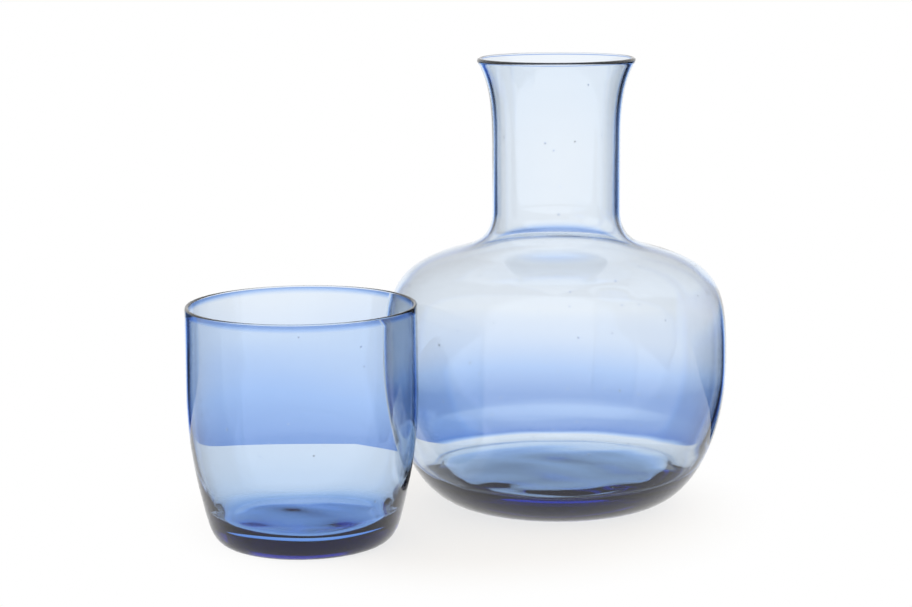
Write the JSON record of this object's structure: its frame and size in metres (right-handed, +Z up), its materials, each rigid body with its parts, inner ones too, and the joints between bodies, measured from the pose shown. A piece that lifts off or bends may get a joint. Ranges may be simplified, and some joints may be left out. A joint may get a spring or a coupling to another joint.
{
  "type": "carafe with tumbler",
  "caption": "Blown tinted-glass water carafe with a broad belly, low shoulder and flared neck, and a matching round-heeled drinking tumbler standing beside it.",
  "frame": {"origin": "on the table, under the middle of the box around the pair", "axes": "+Z up, +X from the tumbler towards the carafe as seen from the front, +Y away from the front"},
  "size_m": [0.201, 0.164, 0.1705],
  "materials": {
    "carafe_glass": "clear pale blue blown glass, fire-polished",
    "tumbler_glass": "clear pale blue blown glass, fire-polished"
  },
  "bodies": {
    "carafe": {"carafe": "carafe_glass"},
    "tumbler": {"tumbler": "tumbler_glass"}
  },
  "joints": [
    {"name": "tumbler_lift", "type": "slide", "parent": "carafe", "child": "tumbler", "axis": [0, 0, 1], "range_m": [0, 0.1]}
  ]
}
